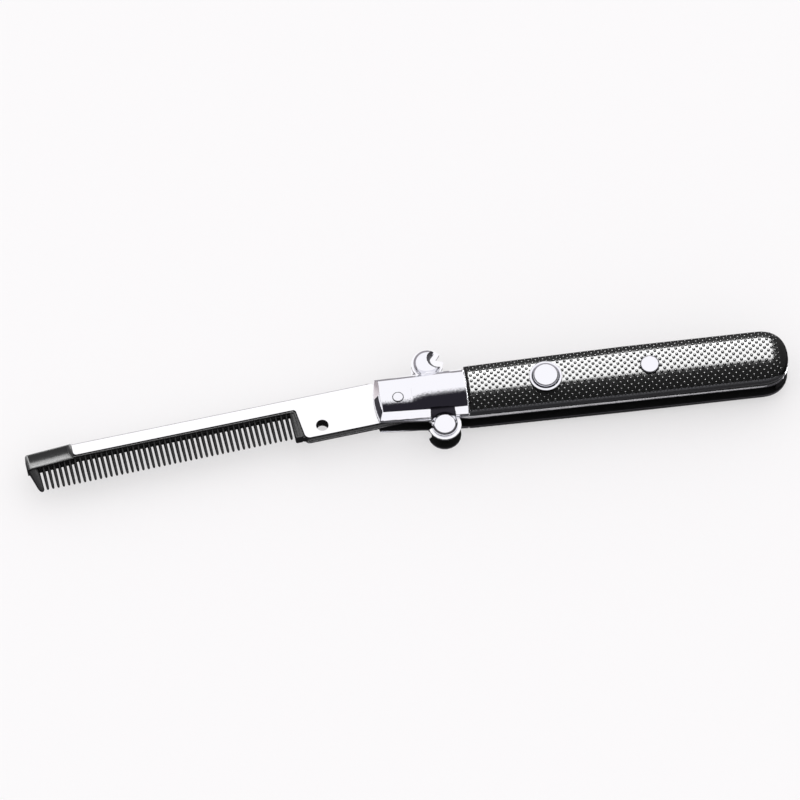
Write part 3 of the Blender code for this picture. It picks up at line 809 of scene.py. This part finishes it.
def pebble_square(x, y):
    """Square with a round opening, bridged to a pebble that rises ring by ring."""
    square = flat_square(x, y)
    edit(square)
    pick(square, "VERT", lambda co: abs(co.x - x) < TILE_X / 4 - 0.1 and abs(co.y - y) < TILE_Y / 4 - 0.1)
    bpy.ops.mesh.delete(type="VERT")
    bpy.ops.mesh.select_all(action="DESELECT")
    radius, level = PEBBLE_RINGS[0]
    bpy.ops.mesh.primitive_circle_add(vertices=SIDES, radius=radius, location=(x, y, level),
                                      rotation=(0, 0, pi / SIDES))
    bpy.ops.mesh.select_all(action="SELECT")
    bpy.ops.mesh.bridge_edge_loops()
    for (before, low), (after, high) in zip(PEBBLE_RINGS, PEBBLE_RINGS[1:]):
        pick(square, "EDGE", lambda co, item: abs(co.z - low) < 1e-4 and item.is_boundary
             and hypot(co.x - x, co.y - y) < before * 1.01)
        bpy.ops.mesh.extrude_edges_move(TRANSFORM_OT_translate={"value": (0, 0, high - low)})
        bpy.ops.transform.resize(value=(after / before, after / before, 1), center_override=(x, y, high))
    bpy.ops.mesh.edge_face_add()
    bpy.ops.mesh.poke(offset=PEBBLE_RISE - PEBBLE_RINGS[-1][1])
    bpy.ops.object.mode_set(mode="OBJECT")
    return square


def pebble_tile():
    qx, qy = TILE_X / 4, TILE_Y / 4
    squares = [pebble_square(qx, qy), pebble_square(3 * qx, 3 * qy),
               flat_square(3 * qx, qy), flat_square(qx, 3 * qy)]
    return join_pieces(squares)


tile = pebble_tile()
print("one tile of two pebbles has", len(tile.data.polygons), "faces")

# %% Sheet of tiles
PLAIN_FLANK = 0.84


def pebble_sheet(tile):
    """Repeat the tile along and across, and merge the seams."""
    length = HANDLE_END - 0.05 - COVER_START
    along, across = round(length / TILE_X), 10
    for count, offset in ((along, (TILE_X, 0, 0)), (across, (0, TILE_Y, 0))):
        modify(tile, "ARRAY", count=count, use_relative_offset=False, use_constant_offset=True,
               constant_offset_displace=offset, use_merge_vertices=True, merge_threshold=0.001)
    tile.name = "near_cover"
    return tile, along * TILE_X, across * TILE_Y


near_cover, sheet_length, sheet_width = pebble_sheet(tile)
print("the sheet is", sheet_length, "by", round(sheet_width, 1), "mm")

# %% [markdown]
# To lay the flat sheet on the half-round form, each point keeps its share of the way along and
# across, and its height above the sheet becomes a height along the form's own normal. The form's
# section is a little fuller than an ellipse. Pebbles fade out where the real cover is plain: on
# the flanks, round the button and its rivet, and over the rounded end.

# %% Lay the sheet on the form
FULLNESS = 2.25
BUTTON = (42.6, 0.95)
REAR_RIVET = (72.6, 1.2)
RING_OUTER = 4.7
RIVET_RADIUS = 2.8
FRONT_MARGIN, PEBBLE_FADE = 0.9, 0.3
FRONT_ROUND, FRONT_DROP = 0.8, 0.45


def section_table(power, half=8.2, rise=3.8, steps=4000):
    """Even steps along a full ellipse from its lower edge to its back, as unit (across, up)."""
    turn = np.linspace(pi, 0, steps)
    across = np.sign(np.cos(turn)) * np.abs(np.cos(turn)) ** (2 / power)
    up = np.abs(np.sin(turn)) ** (2 / power)
    run = np.concatenate([[0], np.cumsum(np.hypot(np.diff(across) * half, np.diff(up) * rise))])
    return run / run[-1], across, up


def fade(value, low, high):
    """0 below low, 1 above high, and smooth between."""
    t = np.clip((value - low) / (high - low), 0, 1)
    return t * t * (3 - 2 * t)


def form_point(x, share, table):
    """Point of the form at x, at a share of the way from its lower edge to its back."""
    run, across, up = table
    drop = PEBBLE_RISE + FRONT_DROP * (1 - fade(x, COVER_START, COVER_START + FRONT_ROUND))
    edge, back, rise, _ = handle_at(x)
    edge = edge + EDGE_INSET["rear"] * np.clip((back - edge) / 6, 0, 1)
    y = (edge + back) / 2 + (back - edge) / 2 * np.interp(share, run, across)
    z = SHELL_BASE + SHELL_WALL + (rise - drop - SHELL_WALL) * np.interp(share, run, up)
    return np.stack([x, y, z], axis=-1)


def lay_on_form(sheet, power):
    flat = np.zeros(len(sheet.data.vertices) * 3)
    sheet.data.vertices.foreach_get("co", flat)
    flat = flat.reshape(-1, 3)
    span = HANDLE_END - 0.05 - COVER_START
    x = COVER_START + flat[:, 0] / sheet_length * span
    share = np.clip(flat[:, 1] / sheet_width, 0, 1)
    table = section_table(power)
    point = form_point(x, share, table)
    step_x, step_share = 0.02, 0.002
    low, high = np.clip(x - step_x, COVER_START, None), np.clip(x + step_x, None, HANDLE_END - 0.04)
    run_x = form_point(high, share, table) - form_point(low, share, table)
    run_y = (form_point(x, np.clip(share + step_share, 0, 1), table)
             - form_point(x, np.clip(share - step_share, 0, 1), table))
    normal = np.cross(run_x, run_y)
    normal /= np.linalg.norm(normal, axis=1)[:, None]
    middle = np.abs(share * 2 - 1)
    keep = 1 - fade(middle, PLAIN_FLANK - 0.06, PLAIN_FLANK)
    keep *= fade(x, COVER_START + FRONT_MARGIN - PEBBLE_FADE, COVER_START + FRONT_MARGIN)
    keep *= fade(handle_at(x)[3], 0.75, 0.9)
    for (cx, cy), radius in ((BUTTON, RING_OUTER + 0.3), (REAR_RIVET, RIVET_RADIUS)):
        keep *= fade(np.hypot(point[:, 0] - cx, point[:, 1] - cy), radius, radius + PEBBLE_FADE)
    point += normal * (flat[:, 2] * keep)[:, None]
    sheet.data.vertices.foreach_set("co", point.ravel())
    sheet.data.update()


def close_cover(sheet):
    """Drop a wall from the rim to the plate and close it underneath."""
    edit(sheet)
    pick(sheet, "EDGE", lambda co, item: item.is_boundary)
    bpy.ops.mesh.extrude_edges_move(TRANSFORM_OT_translate={"value": (0, 0, 0)})
    bpy.ops.transform.resize(value=(1, 1, 0), center_override=(0, 0, SHELL_BASE))
    bpy.ops.mesh.edge_face_add()
    bpy.ops.object.mode_set(mode="OBJECT")


lay_on_form(near_cover, FULLNESS)
close_cover(near_cover)
print("cover is", [round(d, 2) for d in near_cover.dimensions], "mm")

# %% Far cover, then the button's hole
RING_INNER = 3.95
RING_SEAT = 7.1


def round_cutter(centre, radius, low, high):
    clear_selection()
    bpy.ops.mesh.primitive_cylinder_add(vertices=64, radius=radius, depth=high - low,
                                        location=(*centre, (low + high) / 2))
    return name_new("round_cutter")


far_cover = mirrored(near_cover, "far_cover")
combine(near_cover, round_cutter(BUTTON, RING_INNER, SHELL_BASE - 1, 12), "DIFFERENCE")
combine(near_cover, round_cutter(BUTTON, RING_OUTER + 0.1, RING_SEAT, 12), "DIFFERENCE")
for side, piece in (("near", near_cover), ("far", far_cover)):
    to_place(piece)
    finish_piece(piece, COVER_BLACK, "handle", f"cover_{side}", smooth=60)
    # Painted sheen: faces that look down and forward get the greyer finish.
    paint_faces(piece, PAINTED_FLANK_SHEEN, lambda co, normal: normal.y < -0.72)

# %% [markdown]
# Sleeve, plates, bar and block. Their outlines in the frame are already right, because they are
# flat stock cut to shape. What they lack is the broken edge that every sheared and tumbled part
# has. So each is a copy of its solid, with its loose triangles merged, its flat faces dissolved
# back into one, and a fine bevel run round it. Weighted normals keep the flat faces flat to the
# eye. The sleeve's back is a fold, so it gets a rounder edge first. The plates differ: their
# long outer edges get one plain chamfer, which shows as a bright line, and only their steep walls
# are shaded smooth, so that the chamfer stays crisp.

# %% Sheet parts
BLADE_DROOP = 5.93
BLADE_BACK = 8.9
FOLD_RADIUS = 0.9
CHANNEL_HALF, PLATE, OUTER_BEVEL = 2.35, 0.75, 0.45
LONG_EDGE = 8.0
EAR_FOOT = 9.2


def copy_solid(node, name):
    clear_selection()
    piece = bpy.data.objects.new(name, frame["nodes"][node].data.copy())
    bpy.context.scene.collection.objects.link(piece)
    piece.data.materials.clear()
    edit(piece)
    bpy.ops.mesh.customdata_custom_splitnormals_clear()
    bpy.ops.mesh.remove_doubles(threshold=0.000002)
    bpy.ops.mesh.dissolve_limited(angle_limit=radians(1))
    bpy.ops.object.mode_set(mode="OBJECT")
    return piece


def to_drawing(piece, turn=0.0):
    """From metres in the frame back to millimetres about the pivot."""
    piece.matrix_world = (Matrix.Scale(1 / MM, 4) @ Matrix.Rotation(-radians(turn), 4, "Z")
                          @ Matrix.Translation(-PIVOT))
    apply_place(piece)


def break_edges(piece, width, segments=2):
    modify(piece, "BEVEL", width=width, segments=segments, limit_method="ANGLE",
           angle_limit=radians(40), use_clamp_overlap=True)


def round_fold(sleeve):
    edit(sleeve)
    pick(sleeve, "EDGE", lambda co, item: co.y > BLADE_BACK - 0.01 and abs(co.z) > 1.8
         and abs(item.verts[0].co.x - item.verts[1].co.x) > 10)
    bpy.ops.mesh.bevel(offset=FOLD_RADIUS, segments=6, profile=0.5)
    bpy.ops.object.mode_set(mode="OBJECT")


def break_outer_edge(plate, side):
    """One plain chamfer along the long edges of the plate's outer face."""
    level = CHANNEL_HALF + PLATE
    edit(plate)
    pick(plate, "EDGE", lambda co, item: abs(item.verts[0].co.z - side * level) < 0.01
         and abs(item.verts[1].co.z - side * level) < 0.01
         and item.calc_length() > LONG_EDGE)
    bpy.ops.mesh.bevel(offset=OUTER_BEVEL, segments=1, clamp_overlap=False)
    bpy.ops.object.mode_set(mode="OBJECT")


def cut_at_ear(plate):
    """Cut the faces across at the foot of the upper ear, where the slot's black will stop."""
    edit(plate)
    bpy.ops.mesh.bisect(plane_co=(0, EAR_FOOT, 0), plane_no=(0, 1, 0))
    bpy.ops.object.mode_set(mode="OBJECT")


def smooth_walls(plate):
    """Shade the steep walls smooth and all the other faces flat."""
    for face in plate.data.polygons:
        face.use_smooth = abs(face.normal.z) < 0.3


def flatten_shading(piece):
    modify(piece, "WEIGHTED_NORMAL", keep_sharp=True, weight=80)


for node, name, finish, body_name, slot, width in (
        ("blade_sleeve", "steel_sleeve", SLEEVE_STEEL, "blade", "sleeve_steel", 0.1),
        ("plate_near", "near_plate", PLATE_STEEL, "handle", "plate_steel", 0),
        ("plate_far", "far_plate", PLATE_STEEL, "handle", "plate_steel", 0),
        ("back_bar", "spine_bar", BLACK_PLASTIC_AND_PAINTED_SHADE, "handle", "inner_plastic", 0.2),
        ("end_block", "pommel_block", BLACK_PLASTIC_AND_PAINTED_SHADE, "handle", "inner_plastic", 0.2)):
    part = copy_solid(node, name)
    turn = BLADE_DROOP if body_name == "blade" else 0.0
    to_drawing(part, turn)
    if node == "blade_sleeve":
        round_fold(part)
    if slot == "plate_steel":
        break_outer_edge(part, 1 if node == "plate_near" else -1)
        cut_at_ear(part)
    if width:
        break_edges(part, width)
    to_place(part, turn)
    finish_piece(part, finish, body_name, node, smooth=35)
    if width:
        flatten_shading(part)
    else:
        smooth_walls(part)

# %% [markdown]
# The inner faces of the plates are painted black, which is painted shade, so that the slot
# that the blade folds into looks dark. A second material goes on just the faces that look into
# the slot. The sleeve's cut edges get a dark dull steel in the same way, a painted reflection.

# %% Painted shade in the slot and painted reflection on the sleeve's edges
# Painted reflection: the sleeve's cut edges get a dark dull steel in place of the black comb they would
# mirror.
PAINTED_EDGE_REFLECTION = new_finish("painted_dark_edge_reflection", "2c2b2e", 1.0, 0.5)[0]
for name, side in (("near_plate", 1), ("far_plate", -1)):
    level = side * CHANNEL_HALF
    paint_faces(bpy.data.objects[name], BLACK_PLASTIC_AND_PAINTED_SHADE,
                lambda co, normal: abs(co.z - level) < 0.02 and co.y < EAR_FOOT)
across_blade = Matrix.Rotation(radians(BLADE_DROOP), 3, "Z") @ Vector((0, 1, 0))
paint_faces(bpy.data.objects["steel_sleeve"], PAINTED_EDGE_REFLECTION,
            lambda co, normal: abs(normal.z) < 0.9 and normal.dot(across_blade) < 0.5)

# %% [markdown]
# Comb. It is one moulding: slender teeth with rounded tips, each running up into the strip as a
# small rib, a ridge along the strip's top, a block at the tip with hollow faces, and a post at
# the sleeve. One tooth is drawn ring by ring from a circle and repeated, then all is united.
# The blade's own axes are used here: x runs back from the tip, so it is negative, and y is the
# height over the pivot.

# %% One tooth
TOOTH_COUNT, TOOTH_PITCH, FIRST_GAP = 47, 1.544, 103.56
GAP_TOP, TEETH_EDGE = 4.15, -3.1
RIB_TOP = 4.7
TOOTH_RINGS = [
    {"w": RIB_TOP + 0.1, "width": 0.6, "half": 1.4},
    {"w": RIB_TOP - 0.1, "width": 0.95, "half": 1.58},
    {"w": GAP_TOP + 0.15, "width": 1.0, "half": 1.56},
    {"w": GAP_TOP - 0.5, "width": 0.98, "half": 1.42},
    {"w": 0.7, "width": 0.92, "half": 1.0},
    {"w": -2.2, "width": 0.8, "half": 0.66},
    {"w": -2.75, "width": 0.7, "half": 0.56},
    {"w": -2.98, "width": 0.5, "half": 0.4},
    {"w": TEETH_EDGE, "width": 0.18, "half": 0.18},
]


def drawn_tooth(rings, sides, name):
    """Tooth drawn down from its root, each ring given its middle, width and half-depth."""
    clear_selection()
    first = rings[0]
    bpy.ops.mesh.primitive_circle_add(
        vertices=sides, radius=0.5, fill_type="NGON",
        location=(-first.get("u", 0), first["w"], 0), rotation=(pi / 2, 0, 0))
    tooth = name_new(name)
    edit(tooth)
    centre = (-first.get("u", 0), first["w"], 0)
    bpy.ops.transform.resize(value=(first["width"], 1, first["half"] * 2), center_override=centre)
    for before, after in zip(rings, rings[1:]):
        shift = (before.get("u", 0) - after.get("u", 0), after["w"] - before["w"], 0)
        bpy.ops.mesh.extrude_region_move(TRANSFORM_OT_translate={"value": shift})
        centre = (-after.get("u", 0), after["w"], 0)
        bpy.ops.transform.resize(
            value=(after["width"] / before["width"], 1, after["half"] / before["half"]),
            center_override=centre)
    bpy.ops.mesh.select_all(action="SELECT")
    bpy.ops.mesh.normals_make_consistent(inside=False)
    bpy.ops.object.mode_set(mode="OBJECT")
    return tooth


teeth = drawn_tooth(TOOTH_RINGS, 14, "teeth")
modify(teeth, "ARRAY", count=TOOTH_COUNT, use_relative_offset=False, use_constant_offset=True,
       constant_offset_displace=(TOOTH_PITCH, 0, 0))
edit(teeth)
bpy.ops.transform.translate(value=(-(FIRST_GAP - TOOTH_PITCH / 2), 0, 0))
clear_selection()
print("teeth:", TOOTH_COUNT, "with", len(teeth.data.polygons), "faces")

# %% Strip, web and end tooth
SLEEVE_END, BLADE_TIP = 93.6, 107.3
POST_OUTER = 28.9
STRIP_LOW, STRIP_TOP = 4.5, 4.9
CORE_BACK = 8.0
WEB_HALF, STRIP_HALF, BLOCK_HALF = 1.0, 1.75, 1.86


def bar(name, u, w, half, bevel=0.0):
    """Bar between two u and two w, either side of the blade's middle plane."""
    clear_selection()
    bpy.ops.mesh.primitive_cube_add(
        size=1, location=(-(u[0] + u[1]) / 2, (w[0] + w[1]) / 2, 0),
        scale=(u[1] - u[0], w[1] - w[0], half * 2))
    piece = name_new(name)
    if bevel:
        modify(piece, "BEVEL", width=bevel, segments=4, limit_method="ANGLE")
    return piece


END_TOOTH = [
    {"u": 105.6, "w": 4.6, "width": 3.1, "half": 1.6},
    {"u": 105.6, "w": 3.7, "width": 3.2, "half": 1.6},
    {"u": 105.5, "w": 2.9, "width": 3.1, "half": 1.5},
    {"u": 104.7, "w": -2.2, "width": 1.75, "half": 0.85},
    {"u": 104.55, "w": -2.9, "width": 1.4, "half": 0.7},
    {"u": 104.5, "w": -3.2, "width": 0.95, "half": 0.5},
    {"u": 104.48, "w": -3.4, "width": 0.35, "half": 0.2},
]
end_tooth = drawn_tooth(END_TOOTH, 20, "end_tooth")
strip = bar("strip", (POST_OUTER + 0.6, SLEEVE_END + 1), (STRIP_LOW, STRIP_TOP), STRIP_HALF, 0.12)
web = bar("web", (29.4, BLADE_TIP - 1.6), (GAP_TOP, CORE_BACK), WEB_HALF)
print("strip is", [round(d, 2) for d in strip.dimensions], "mm")

# %% [markdown]
# The block at the tip is a bar that narrows to the tip, with a hollow scooped out of each face.
# A wide cylinder lying along the face makes the hollow, as a ball-nosed cutter makes it in the
# mould. The post's panel is flat, so an inset and a short extrude inwards are enough for it.

# %% Tip block and post
SCOOP = {"u": (95.0, 106.3), "w": (6.6, 5.7), "radius": 3.5, "depth": 0.5}
BLOCK_START, TIP_DROP = SLEEVE_END + 0.1, 0.8
POST_FOOT = -3.7


def sink_panel(piece, margin, depth):
    """Sink a panel into both broad faces."""
    edit(piece)
    for side in (1, -1):
        pick(piece, "FACE", lambda co, normal: normal.z * side > 0.99 and co.z * side > 0.5)
        bpy.ops.mesh.inset(thickness=margin, depth=0)
        bpy.ops.mesh.inset(thickness=0.12, depth=-depth)
    bpy.ops.object.mode_set(mode="OBJECT")


def round_corners(piece, radius, test):
    """Round the upright edges that pass the test."""
    edit(piece)
    pick(piece, "EDGE", lambda co, item: abs(item.verts[0].co.z - item.verts[1].co.z) > 1 and test(co))
    bpy.ops.mesh.bevel(offset=radius, segments=6, profile=0.5)
    bpy.ops.object.mode_set(mode="OBJECT")


def scoop_cutter(side):
    (u0, u1), (w0, w1) = SCOOP["u"], SCOOP["w"]
    clear_selection()
    bpy.ops.mesh.primitive_cylinder_add(
        vertices=160, radius=SCOOP["radius"], depth=hypot(u1 - u0, w1 - w0),
        location=(-(u0 + u1) / 2, (w0 + w1) / 2,
                  side * (BLOCK_HALF + SCOOP["radius"] - SCOOP["depth"])),
        rotation=(0, pi / 2, atan2(w0 - w1, u1 - u0)))
    return name_new("scoop_cutter")


block = bar("block", (BLOCK_START, BLADE_TIP), (GAP_TOP, BLADE_BACK), BLOCK_HALF)
edit(block)
pick(block, "VERT", lambda co: co.x < -BLADE_TIP + 0.1)
bpy.ops.transform.translate(value=(0, -TIP_DROP, 0))
bpy.ops.object.mode_set(mode="OBJECT")
round_corners(block, 0.8, lambda co: co.x < -BLADE_TIP + 0.1 and co.y > RIB_TOP)
round_corners(block, 0.25, lambda co: co.x < -BLADE_TIP + 0.1 and co.y < RIB_TOP)
for side in (1, -1):
    combine(block, scoop_cutter(side), "DIFFERENCE")
break_edges(block, 0.12)
post = bar("post", (28.45, 30.65), (POST_FOOT, STRIP_TOP), 1.74)
edit(post)
pick(post, "VERT", lambda co: co.y > 0 and co.x > -29.5)
bpy.ops.transform.translate(value=(-0.7, 0, 0))
bpy.ops.object.mode_set(mode="OBJECT")
round_corners(post, 0.75, lambda co: co.y > 0 and co.x > -29.8)
round_corners(post, 0.5, lambda co: co.y < 0)
sink_panel(post, 0.42, 0.25)
print("block and post are ready")

# %% Unite the comb
CORE_CUT = -29.3


def tang_core():
    """The flat core inside the sleeve, from the post to the pivot."""
    core = copy_solid("comb_insert", "core")
    to_drawing(core, BLADE_DROOP)
    print("core spans", [round(d, 2) for d in core.dimensions], "mm")
    edit(core)
    bpy.ops.mesh.bisect(plane_co=(CORE_CUT, 0, 0), plane_no=(1, 0, 0), use_fill=True,
                        clear_inner=True)
    bpy.ops.object.mode_set(mode="OBJECT")
    return core


comb = web
for tool in (strip, block, post, end_tooth, teeth, tang_core()):
    print("uniting", tool.name, "with", open_edges(tool), "open edges")
    combine(comb, tool, "UNION")
comb.name = "moulded_comb"
to_place(comb, BLADE_DROOP)
finish_piece(comb, COMB_BLACK, "blade", "comb_insert", smooth=40)

# %% [markdown]
# Button, ring and rivets are turned parts with domed heads. Half a sphere gives the head, and
# its open rim is extruded down for the shank.

# %% Turned parts
BUTTON_RADIUS, BUTTON_FOOT, BUTTON_SHOULDER, BUTTON_TOP = 3.7, 5.4, 8.5, 10.6
RING_TOP = 8.2
RIVET_RISE, RIVET_STEM = 1.6, 1.5


def domed_head(name, centre, radius, level, rise):
    """Flattened half sphere whose open rim lies at a level."""
    clear_selection()
    bpy.ops.mesh.primitive_uv_sphere_add(segments=72, ring_count=36, radius=1,
                                         location=(*centre, level), scale=(radius, radius, rise))
    head = name_new(name)
    edit(head)
    bpy.ops.mesh.bisect(plane_co=(0, 0, level), plane_no=(0, 0, 1), clear_inner=True)
    return head


def drop_rim(head, level):
    """Extrude the open rim down to a level and close it."""
    pick(head, "EDGE", lambda co, item: item.is_boundary)
    bpy.ops.mesh.extrude_edges_move(TRANSFORM_OT_translate={"value": (0, 0, level)})
    bpy.ops.mesh.edge_face_add()
    bpy.ops.object.mode_set(mode="OBJECT")


button = domed_head("chrome_button", BUTTON, BUTTON_RADIUS, BUTTON_SHOULDER,
                    BUTTON_TOP - BUTTON_SHOULDER)
drop_rim(button, BUTTON_FOOT - BUTTON_SHOULDER)
to_place(button)
finish_piece(button, CHROME, "button", "push_button", smooth=40)

rivet_level = SHELL_BASE + float(handle_at(REAR_RIVET[0])[2]) - 0.05
rivet = domed_head("rear_dome_rivet", REAR_RIVET, RIVET_RADIUS, rivet_level, RIVET_RISE)
drop_rim(rivet, -0.25)
stem = round_cutter(REAR_RIVET, RIVET_STEM, CHANNEL_HALF + 0.15, rivet_level)
combine(rivet, stem, "UNION")
to_place(rivet)
finish_piece(rivet, CHROME, "handle", "rear_rivet", smooth=40)

# %% Ring and pivot rivet
def button_collar():
    clear_selection()
    bpy.ops.mesh.primitive_cylinder_add(
        vertices=72, radius=RING_OUTER, depth=RING_TOP - RING_SEAT - 0.2,
        location=(*BUTTON, (RING_TOP + RING_SEAT + 0.2) / 2), end_fill_type="NOTHING")
    collar = name_new("button_collar")
    modify(collar, "SOLIDIFY", thickness=RING_OUTER - RING_INNER, offset=-1)
    modify(collar, "BEVEL", width=0.3, segments=5, limit_method="ANGLE")
    return collar


def pivot_rivet():
    """Rivet through both bolsters, with a shallow dish turned in each head."""
    clear_selection()
    reach = SHELL_BASE + SEAT_LEVEL + 0.14
    bpy.ops.mesh.primitive_cylinder_add(vertices=64, radius=PIVOT_RADIUS, depth=2 * reach)
    rivet = name_new("pivot_rivet")
    edit(rivet)
    for side in (1, -1):
        pick(rivet, "FACE", lambda co, normal: normal.z * side > 0.9)
        bpy.ops.mesh.inset(thickness=0.35, depth=0)
        bpy.ops.mesh.inset(thickness=0.25, depth=-0.12)
    bpy.ops.object.mode_set(mode="OBJECT")
    modify(rivet, "BEVEL", width=0.1, segments=3, limit_method="ANGLE")
    return rivet


for part, node in ((button_collar(), "button_ring"), (pivot_rivet(), "pivot_pin")):
    to_place(part)
    finish_piece(part, CHROME, "handle", node, smooth=40)

# %% [markdown]
# The softbox lights only the covers, and the low lamp only the black comb. The receivers of each
# go in a collection of their own, which is called light linking.

# %% Light linking and the end


def light_only(lamp, pieces):
    receivers = bpy.data.collections.new(f"lit_by_{lamp.name}")
    for piece in pieces:
        receivers.objects.link(piece)
    lamp.light_linking.receiver_collection = receivers


light_only(softbox, [near_cover, far_cover])
light_only(comb_lamp, [comb])
